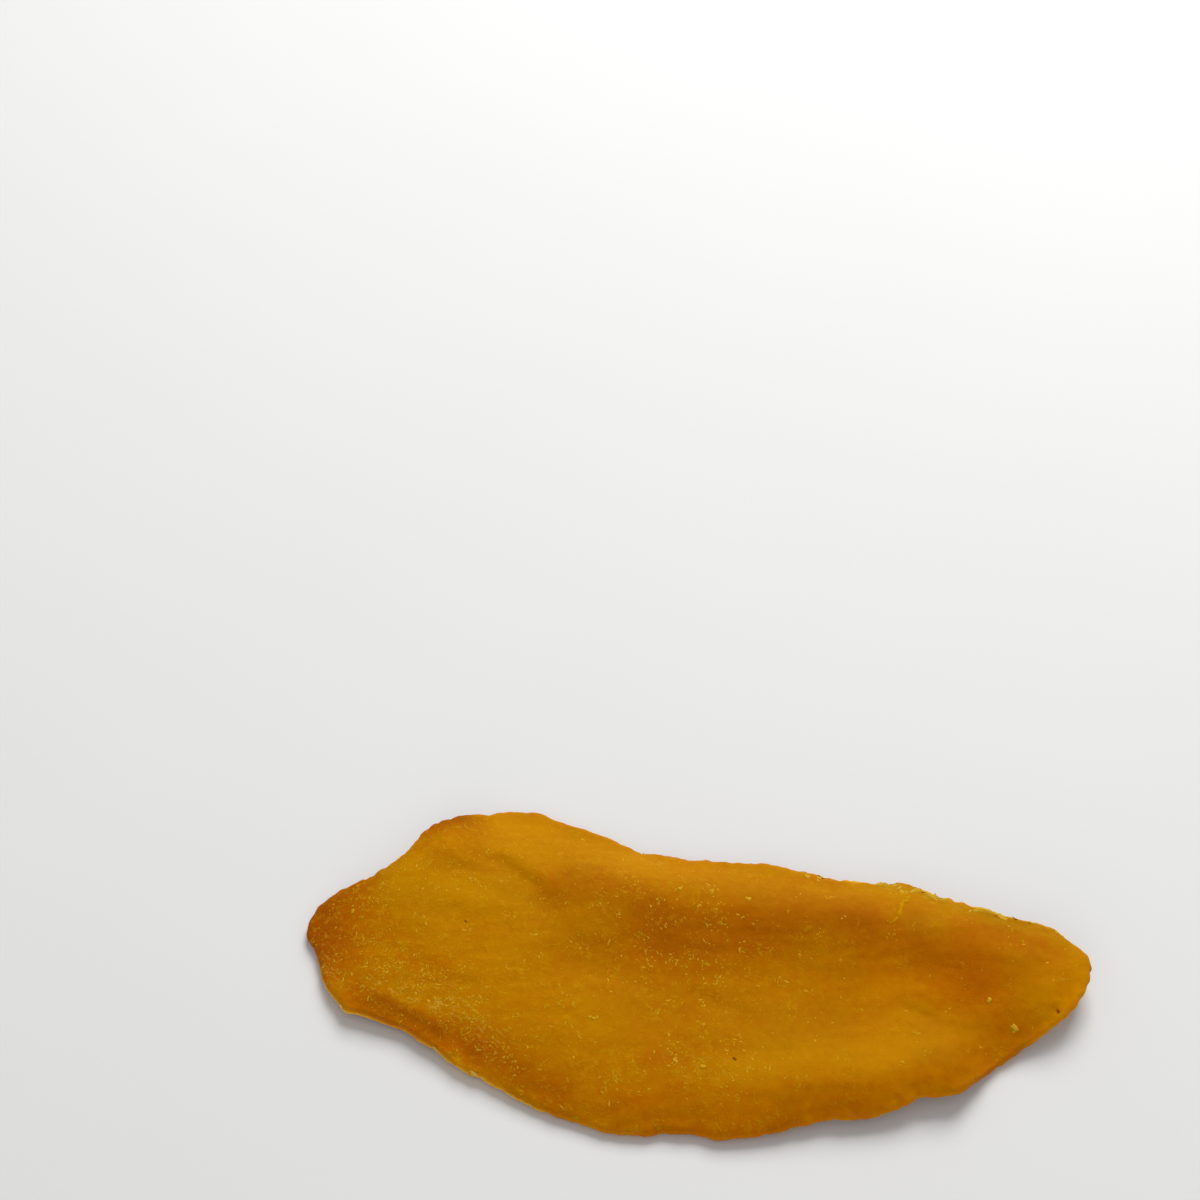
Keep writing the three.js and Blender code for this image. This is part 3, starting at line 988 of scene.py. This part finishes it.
def crust_finish():
    """Dried juice at the edge, from creamy orange to a greenish yellow."""
    finish = Finish("edge_crust", **SMALL)
    side = finish.node("ShaderNodeSeparateXYZ", inputs={"Vector": finish.place}, output="X")
    greener = finish.fade(side + 0.012 * finish.cloud(2), *FLAKES_GO_OVER)
    creamy = finish.blend(finish.cloud(1.1), *CREAMY_COLOURS)
    greenish = finish.blend(finish.cloud(1.1), *GREENISH_COLOURS)
    colour = finish.blend(greener, creamy, greenish)
    finish.set("Base Color", finish.blend(finish.painted("pale"), colour, LUMP_COLOUR))
    finish.set("Roughness", 0.55 + 0.25 * finish.cloud(0.6))
    finish.bump(finish.cloud(0.3, detail=3), 0.04)
    return finish.material


def fibre_finish():
    """Bright yellow fibre."""
    finish = Finish("fruit_fibres", **SMALL)
    finish.set("Base Color", finish.blend(finish.cloud(0.6), *FIBRE_COLOURS))
    finish.set("Roughness", 0.45 + 0.2 * finish.cloud(0.6))
    finish.bump(finish.cloud(0.3), 0.04)
    return finish.material


def speck_finish():
    """Brown specks of skin."""
    finish = Finish("dark_specks", **SMALL)
    finish.set("Base Color", finish.blend(finish.cloud(0.3), *SPECK_COLOURS))
    finish.set("Roughness", 0.6 + 0.2 * finish.cloud(0.3))
    return finish.material


def floor_finish():
    """Plain matt off-white."""
    finish = Finish("pale_floor", Specular_IOR_Level=0.1)
    finish.set("Base Color", finish.blend(finish.cloud(60), *FLOOR_COLOURS))
    finish.set("Roughness", 0.85 + 0.05 * finish.cloud(20))
    return finish.material


# ---------------------------------------------------------------- the whole


def piece(name, mesh, material):
    """A piece of the slice, which rides on the slice's body."""
    made = shown(name, mesh)
    mesh.materials.clear()
    mesh.materials.append(material)
    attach(made, BODY)
    return made


def dress():
    """Makes the slice and all that lies on it."""
    mesh = shaped_skin()
    skin = Skin(mesh)
    flesh = piece("mango_flesh", mesh, flesh_finish())
    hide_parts(NODE)
    piece("fruit_flecks", fleck_mesh(skin), fleck_finish())
    piece("sugar_grains", grain_mesh(skin), grain_finish())
    piece("dark_specks", speck_mesh(skin), speck_finish())
    piece("edge_crust", crust_mesh(skin), crust_finish())
    piece("fruit_fibres", fibre_mesh(skin), fibre_finish())


def lay_floor():
    """The plain floor that the slice lies on."""
    bm = bmesh.new()
    bmesh.ops.create_grid(bm, x_segments=1, y_segments=1, size=FLOOR_HALF_WIDTH)
    mesh = bpy.data.meshes.new("pale_floor")
    bm.to_mesh(mesh)
    bm.free()
    floor = shown("pale_floor", mesh)
    mesh.materials.append(floor_finish())


def lamp(name, place, size, power):
    """A soft square lamp that points at the slice."""
    light = bpy.data.lights.new(name, "AREA")
    light.size = size
    light.energy = power
    made = shown(name, light)
    made.location = place
    made.rotation_euler = (-Vector(place)).to_track_quat("-Z", "Y").to_euler()


def light_up():
    """The lamps, and an even pale light all round."""
    for name, (place, size, power) in LAMPS.items():
        lamp(name, place, size, power)
    world = bpy.data.worlds.new("room")
    world.use_nodes = True
    room = world.node_tree.nodes["Background"]
    room.inputs["Color"].default_value = (1, 1, 1, 1)
    room.inputs["Strength"].default_value = ROOM_LIGHT
    bpy.context.scene.world = world
    bpy.context.scene.view_settings.view_transform = "Standard"


def look():
    """The camera, which looks down on the slice from its near side."""
    camera = shown("camera", bpy.data.cameras.new("camera"))
    camera.location = CAMERA_PLACE
    camera.rotation_euler = (math.radians(90 - LOOKS_DOWN), 0, 0)
    camera.data.lens = LENS
    camera.data.sensor_width = FILM_WIDTH
    camera.data.clip_start = 0.01
    bpy.context.scene.camera = camera


dress()
lay_floor()
light_up()
look()
